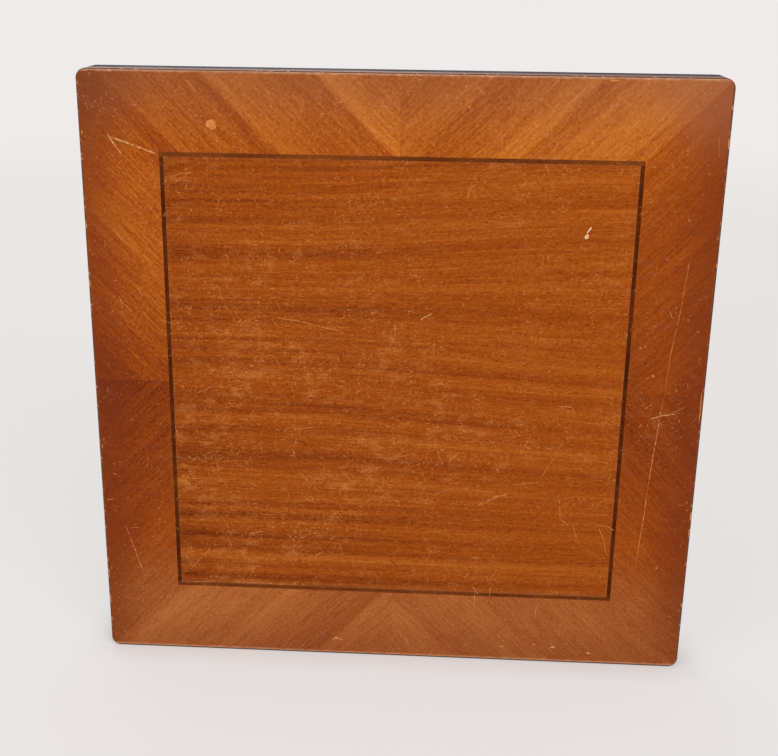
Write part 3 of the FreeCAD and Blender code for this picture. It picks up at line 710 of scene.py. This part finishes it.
tree, (dots, roughness, thickness) = new_tree("worn_spots", Roughness=0.001, Thickness=0.00004)
disc = dots.node("GeometryNodeMeshUVSphere", {}, {"Segments": 18, "Rings": 6, "Radius": 1.0})
turned = dots.node("ShaderNodeCombineXYZ", {}, {"Z": column(dots, "turn")})
size = dots.node("ShaderNodeCombineXYZ", {}, {
    "X": column(dots, "width"), "Y": column(dots, "height"), "Z": thickness,
})
spots = dots.node("GeometryNodeInstanceOnPoints", {}, {
    "Points": dots, "Instance": disc, "Rotation": turned, "Scale": size,
})
spots = spots.node("GeometryNodeRealizeInstances", {}, {"Geometry": spots})
position = spots.node("GeometryNodeInputPosition")
spots = spots.node("GeometryNodeSetPosition", {}, {
    "Geometry": spots, "Offset": unsteady(position, 420.0, roughness),
})
end_tree(onto_face(spots), worn_wood)
points, columns = [], {"width": [], "height": [], "turn": [], "paleness": []}
for right, up, width, height, turn, paleness in SPOTS:
    points.append((right / 1000, up / 1000, 0))
    for name, value in zip(columns, (width / 1000, height / 1000, turn, paleness)):
        columns[name].append(value)
face_spots = grow("face_spots", points, [], columns, tree, Roughness=0.0014, Thickness=0.00004)
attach(face_spots, "table")


# Rails: four beech rails under the top's edge, mitred and keyed at the corners, rounded below
# and sprayed with black lacquer that has a blue cast. Wear shows brown along the edges.
RAIL_BACK, RAIL_ROUNDING = 0.0285, 0.004
ROUNDING_CENTRE = HALF_SIDE + RAIL_BACK - 2 * RAIL_ROUNDING
GRAIN_ACROSS, GRAIN_UPRIGHT = (6, 260, 260), (260, 260, 6)


def sprayed_black(place, rubbed):
    """Colour, roughness and clouds of old black lacquer, with wood where it is rubbed."""
    cloud = noise(place, (11, 11, 11), 4, 0.6)
    scuff = rise(noise(place, (70, 70, 70), 3, 0.65), 0.6, 0.72)
    nicks = rise(noise(place, (190, 190, 190), 2), 0.66, 0.72)
    dust = rise(cloud, 0.45, 0.75)
    worn_places = rise(noise(place, (7, 7, 7), 2), 0.42, 0.6) * 0.8 + 0.2
    patchy = rubbed * rise(noise(place, (55, 55, 55), 4, 0.65), 0.4, 0.62) * worn_places
    black = blend(cloud, coloured(22, 22, 30), coloured(40, 39, 52))
    black = blend(scuff * 0.35, black, coloured(96, 72, 54))
    black = blend(dust * 0.12, black, coloured(128, 120, 112))
    black = blend(patchy * 0.75 + nicks * 0.3, black, coloured(126, 90, 62))
    return black, 0.44 + dust * 0.15 + scuff * 0.2 + patchy * 0.2, cloud


def rail_lacquer(name, grain):
    """Rail lacquer, rubbed along the back edge, with a painted highlight along the front of the
    face that looks up.
    """
    finish, shader, place = new_finish(name, Specular_IOR_Level=0.05)
    fibre = noise(place, grain, 3, 0.6)
    right, back, upward = from_middle(place)
    past_centre = to_edge(right, upward) + back - ROUNDING_CENTRE
    rubbed = rise(past_centre, RAIL_ROUNDING + 0.0001, RAIL_ROUNDING + 0.0016)
    black, dullness, cloud = sprayed_black(place, rubbed)
    # Painted highlight: a pale band along the front of the rail's upward face, next to the lipping,
    # as light glancing off the lacquer.
    on_top = rise(upward, HALF_SIDE - 0.0022, HALF_SIDE - 0.0012)
    painted_highlight = rise(back + (cloud - 0.5) * 0.024, 0.008, -0.004) * on_top
    shade(shader, Base_Color=blend(painted_highlight * 0.45, black, coloured(146, 118, 108)))
    shade(shader, Roughness=dullness + 0.12)
    shade(shader, Normal=relief(fibre, 0.12, 0.0002))
    return finish


across = rail_lacquer("rail_lacquer_across", GRAIN_ACROSS)
upright = rail_lacquer("rail_lacquer_upright", GRAIN_UPRIGHT)
dress(across, "rail_upper", "rail_lower", "corner_keys")
dress(upright, "rail_left", "rail_right")


# Leg plates: a pressed steel plate on the inner face of each rail. It carries the pivot of a leg,
# and in its curved slot runs the pin of the leg's stay. Handling left it dull, with a little rust.
def old_steel(name, pale, dark, lines, sheen):
    """Bare steel with drawing lines, tarnish and a little rust."""
    finish, shader, place = new_finish(name)
    drawn = noise(place, lines, 2, 0.6)
    cloud = noise(place, (30, 30, 30), 4, 0.6)
    rust = rise(noise(place, (75, 75, 75), 4, 0.7), 0.62, 0.78)
    metal = blend(rise(cloud * 0.6 + drawn * 0.4, 0.35, 0.7), dark, pale)
    shade(shader, Base_Color=blend(rust * 0.5, metal, coloured(112, 66, 38)))
    shade(shader, Metallic=1 - rust * 0.6)
    shade(shader, Roughness=sheen + cloud * 0.2 + rust * 0.3)
    shade(shader, Normal=relief(drawn, 0.1, 0.0001))
    return finish


plate_steel = old_steel(
    "plate_steel", coloured(206, 204, 198), coloured(150, 146, 138), (300, 300, 8), 0.36,
)
dress(plate_steel, *each_side("leg_plate"))


# Screws: slotted wood screws, three up through each rail into the lipping and four countersunk in
# each leg plate. All are turned steel, gone grey, and their slots stand as the driver left them.
PLATE_SCREW_FACE = 361.2
PLATE_SCREWS = [(4.35, 322.5), (4.35, 269.5), (2.5, 164.13), (2.5, 77.76)]  # back and up, in mm
RAIL_SCREW_FACE = 11.5
RAIL_SCREWS = [(372.0, -230.0), (372.0, 0.0), (372.0, 230.0)]  # right and up, in mm
TIP, RIDGE, THREAD_TURNS, THREAD_SHARE = 2.0, 0.3, 7.0, 0.6


def four_sides(right, up):
    """A place on the right side, in mm from the middle, and the same on the other sides."""
    return [(right, up), (-up, right), (-right, -up), (up, -right)]


def drive(name, screws, chance, **sizes):
    """One piece of screws, each with its head's place in mm and the way that it was driven."""
    points, columns = [], {"turn_x": [], "turn_y": [], "turn_z": []}
    for right, back, up, way in screws:
        points.append((right / 1000, back / 1000, MIDDLE + up / 1000))
        slot_turn = Matrix.Rotation(chance.uniform(0, math.pi), 3, "Z")
        turned = (Vector(way).to_track_quat("Z", "Y").to_matrix() @ slot_turn).to_euler()
        for key, angle in zip(columns, turned):
            columns[key].append(angle)
    return grow(name, points, [], columns, screw_tree, **sizes)


screw_steel = old_steel(
    "screw_steel", coloured(150, 146, 138), coloured(96, 92, 86), (200, 200, 200), 0.35,
)
screw_tree, (places, head, neck, seat, shank, length, slot) = new_tree(
    "slotted_screws", Head=3.5, Neck=1.8, Seat=1.7, Shank=1.8, Length=13.8, Slot=0.8,
)


def turned_bar(low_radius, high_radius, start, height):
    """Round bar along Z, plain or tapered."""
    bar = start.node("GeometryNodeMeshCone", {}, {
        "Vertices": 32, "Radius Top": high_radius, "Radius Bottom": low_radius, "Depth": height,
    })
    lifted = start.node("ShaderNodeCombineXYZ", {}, {"Z": start})
    return bar.node("GeometryNodeTransform", {}, {"Geometry": bar, "Translation": lifted})


thread_height = (length - seat) * THREAD_SHARE
bars = [
    turned_bar(head, neck, seat * 0, seat),
    turned_bar(shank, shank, seat * 0.8, length - TIP - seat * 0.8),
    turned_bar(shank, 0.1, length - TIP, TIP),
]
blank = places.node("GeometryNodeMeshBoolean", {"operation": "UNION", "solver": "EXACT"}, {
    1: bars,
})
groove_size = places.node("ShaderNodeCombineXYZ", {}, {
    "X": head * 3, "Y": head * 0.26, "Z": slot * 2,
})
groove = places.node("GeometryNodeMeshCube", {}, {"Size": groove_size})
blank = blank.node("GeometryNodeMeshBoolean", {"operation": "DIFFERENCE", "solver": "EXACT"}, {
    0: blank, 1: groove,
})
helix = places.node("GeometryNodeCurveSpiral", {}, {
    "Resolution": 14, "Rotations": THREAD_TURNS, "Height": thread_height,
    "Start Radius": shank, "End Radius": shank,
})
ridge = places.node("GeometryNodeCurvePrimitiveCircle", {"mode": "RADIUS"}, {
    "Resolution": 4, "Radius": RIDGE,
})
thread = helix.node("GeometryNodeCurveToMesh", {}, {
    "Curve": helix, "Profile Curve": ridge, "Fill Caps": True,
})
lowered = places.node("ShaderNodeCombineXYZ", {}, {"Z": length - TIP - thread_height})
thread = thread.node("GeometryNodeTransform", {}, {"Geometry": thread, "Translation": lowered})
screw = places.node("GeometryNodeJoinGeometry", {}, {0: [blank, thread]})
turned = places.node("ShaderNodeCombineXYZ", {}, {
    "X": column(places, "turn_x"), "Y": column(places, "turn_y"), "Z": column(places, "turn_z"),
})
driven = places.node("GeometryNodeInstanceOnPoints", {}, {
    "Points": places, "Instance": screw, "Rotation": turned, "Scale": (0.001, 0.001, 0.001),
})
end_tree(driven, screw_steel)

chance = random.Random(5)
screws = []
for back, up in PLATE_SCREWS:
    heads, ways = four_sides(PLATE_SCREW_FACE, up), four_sides(1.0, 0.0)
    for (right, height), (way_x, way_z) in zip(heads, ways):
        screws.append((right, back, height, (way_x, 0, way_z)))
slotted_plate_screws = drive("slotted_plate_screws", screws, chance)
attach(slotted_plate_screws, "table")
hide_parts("plate_screws")

screws = []
for right, up in RAIL_SCREWS:
    for across, height in four_sides(right, up):
        screws.append((across, RAIL_SCREW_FACE, height, (0, -1, 0)))
slotted_rail_screws = drive(
    "slotted_rail_screws", screws, chance,
    Head=4.0, Neck=4.0, Seat=3.0, Shank=2.0, Length=33.0, Slot=1.2,
)
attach(slotted_rail_screws, "table")
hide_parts("rail_screws")


# Pivots: turned steel studs through plates and spacers, riveted at the rail, each with a washer and
# a domed nut that clamps its leg just enough to hold it where it is put.
pivot_steel = old_steel(
    "pivot_steel", coloured(188, 186, 180), coloured(130, 126, 118), (200, 200, 200), 0.25,
)
dress(pivot_steel, "pivot_studs", "pivot_spacers", "pivot_washers", "pivot_nuts")


# Legs: four square beech legs, tapered from below the stay and rounded along their edges. They are
# lacquered black like the rails, and rubbed to brown wood along the edges and above the feet.
LEG_SIZE, FOOT_SIZE = 0.028, 0.020
LEG_FACE, LEG_BACK = 0.357, 0.0205
PIVOT_HEIGHT = 0.3485
TAPER_START, TAPER_END = 0.150, 0.647

for side in SIDES:
    finish, shader, place = new_finish("leg_lacquer_" + side, Specular_IOR_Level=0.2)
    right, back, upward = from_middle(place)
    out_there = {"right": right, "upper": upward, "left": 0 - right, "lower": 0 - upward}[side]
    up_there = {"right": upward, "upper": 0 - right, "left": 0 - upward, "lower": right}[side]
    along = PIVOT_HEIGHT - up_there
    taper = along.node("ShaderNodeMapRange", {}, {
        0: along, 1: TAPER_START, 2: TAPER_END, 3: LEG_SIZE, 4: FOOT_SIZE,
    })
    from_face = abs((LEG_FACE - out_there) / taper - 0.5) * 2
    from_back = abs((LEG_BACK - back) / taper - 0.5) * 2
    ragged = along + (noise(place, (40, 40, 40), 2) - 0.5) * 0.03
    near_foot = rise(ragged, TAPER_END - 0.037, TAPER_END - 0.002)
    rubbed = rise(from_face + from_back, 1.79, 1.89) + near_foot * 0.4
    black, dullness, cloud = sprayed_black(place, rubbed)
    fibre = noise(place, GRAIN_UPRIGHT if side in ("right", "left") else GRAIN_ACROSS, 3, 0.6)
    shade(shader, Base_Color=black, Roughness=dullness - 0.08)
    shade(shader, Normal=relief(fibre, 0.15, 0.0002))
    dress(finish, "leg_" + side)


# Bushes: thin brass tubes pressed into the legs, in which the pivot studs turn. Only their ends
# show, dark with tarnish and wiped bright where the washer rubs.
brass, shader, place = new_finish("bush_brass", Metallic=1.0)
cloud = noise(place, (60, 60, 60), 4, 0.6)
shade(shader, Base_Color=blend(cloud, coloured(120, 88, 44), coloured(196, 158, 92)))
shade(shader, Roughness=0.3 + cloud * 0.25)
shade(shader, Normal=relief(noise(place, (900, 900, 900), 2), 0.1, 0.0001))
dress(brass, *each_side("leg_bush"))


# Stays: flat steel strips that lock the legs. Each turns on a shoulder screw and washer in its leg,
# and its riveted pin slides along the slot of the leg plate.
stay_steel = old_steel(
    "stay_steel", coloured(210, 208, 202), coloured(156, 152, 144), (40, 40, 40), 0.34,
)
dress(stay_steel, *each_side("stay"))
dress(screw_steel, *each_side("stay_screw"))
dress(pivot_steel, *each_side("stay_washer"), *each_side("slide_pin"))


# Glides: domed steel nails driven into the feet of the legs, so that the table slides and its feet
# don't split. Floors have scratched and polished them.
glide_steel = old_steel(
    "glide_steel", coloured(196, 194, 188), coloured(140, 134, 124), (500, 60, 500), 0.22,
)
dress(glide_steel, *each_side("foot_glide"))


# The room: a wide pale floor, soft lamps and a camera where the photograph was taken from.
# The floor is partly lit by its own paleness where the camera or a gloss sees it, and less of it
# near the table, which paints shade round its base.
FLOOR_SIDE = 160.0
CAMERA_PLACE = Vector((0.0577, -1.5130, 0.8750))
CAMERA_RIGHT = Vector((0.998183, 0.059208, 0.011167))
CAMERA_UP = Vector((-0.030049, 0.328549, 0.944009))
CAMERA_BACK = Vector((0.052224, -0.942629, 0.329731))
PHOTO_WIDTH, PHOTO_HEIGHT = 778, 756
FOCAL_PIXELS = 1253.5
PRINCIPAL = (375.9, 406.3)
SENSOR_WIDTH = 36.0
PALE = coloured(239, 235, 234)


def seen_directly(tree):
    """1 for a ray from the camera, a gloss or a glass, 0 for light on its way to the object."""
    rays = Wire(tree.nodes.new("ShaderNodeLightPath").outputs["Is Camera Ray"])
    glossy = rays.maths("MAXIMUM", rays.beside("Is Glossy Ray"), rays.beside("Is Transmission Ray"))
    return rays.maths("MAXIMUM", rays, glossy)


floor_mesh = bpy.data.meshes.new("floor")
half = FLOOR_SIDE / 2
corners = [(-half, -half, 0), (half, -half, 0), (half, half, 0), (-half, half, 0)]
floor_mesh.from_pydata(corners, [], [(0, 1, 2, 3)])
floor = new_object("floor", floor_mesh)
floor_finish, shader, place = new_finish("floor_paper", Roughness=0.8, Specular_IOR_Level=0.1)
tone = noise(place, (1.5, 1.5, 1.5), 2)
shade(shader, Base_Color=blend(tone, coloured(232, 229, 228), coloured(240, 237, 236)))
paleness = place.node("ShaderNodeEmission", {}, {"Color": PALE, "Strength": 1.0})
right, back, _ = from_middle(place)
clear_of_table = right.maths("MAXIMUM", abs(right) - HALF_SIDE, abs(back) + SURFACE)
# Painted shade: close to the foot of the table less own paleness is mixed in, so the lamps' shadow
# shows more there and the floor is darkened round the base.
glow_and_painted_shade = 0.36 + rise(clear_of_table, 0.0, 0.05) * 0.26
glow_and_painted_shade = glow_and_painted_shade + rise(distance(place, (0, 0, 0)), 0.8, 6.0) * 0.38
seen = seen_directly(floor_finish.node_tree)
lit = Wire(shader.outputs["BSDF"])
mixed = lit.node("ShaderNodeMixShader", {}, {0: seen * glow_and_painted_shade, 1: lit, 2: paleness})
output = floor_finish.node_tree.nodes["Material Output"]
floor_finish.node_tree.links.new(mixed.socket, output.inputs["Surface"])
floor_mesh.materials.append(floor_finish)


def soft_lamp(name, place, target, size, power):
    """Square lamp that faces a point."""
    data = bpy.data.lights.new(name, "AREA")
    data.shape = "SQUARE"
    data.size = size
    data.energy = power
    lamp = new_object(name, data)
    lamp.location = place
    lamp.rotation_euler = (Vector(target) - Vector(place)).to_track_quat("-Z", "Y").to_euler()


soft_lamp("key_lamp", (1.1, -2.4, 2.6), (0, 0, 0.4), 1.8, 42.0)
soft_lamp("fill_lamp", (-1.9, -2.0, 1.8), (0, 0, 0.4), 1.8, 22.0)
soft_lamp("back_lamp", (-0.9, 2.6, 2.4), (0, 0, 0.4), 2.6, 20.0)
world = bpy.data.worlds.new("studio")
bpy.context.scene.world = world
world.use_nodes = True
sky = blend(seen_directly(world.node_tree), (0.55, 0.55, 0.55, 1.0), PALE)
world.node_tree.links.new(sky.socket, world.node_tree.nodes["Background"].inputs["Color"])

camera_data = bpy.data.cameras.new("camera")
camera_data.sensor_width = SENSOR_WIDTH
camera_data.lens = FOCAL_PIXELS / PHOTO_WIDTH * SENSOR_WIDTH
camera_data.shift_x = (PHOTO_WIDTH / 2 - PRINCIPAL[0]) / PHOTO_WIDTH
camera_data.shift_y = (PRINCIPAL[1] - PHOTO_HEIGHT / 2) / PHOTO_WIDTH
camera = new_object("camera", camera_data)
turned = Matrix((CAMERA_RIGHT, CAMERA_UP, CAMERA_BACK)).transposed().to_4x4()
camera.matrix_world = Matrix.Translation(CAMERA_PLACE) @ turned
bpy.context.scene.camera = camera
bpy.context.scene.view_settings.view_transform = "Standard"
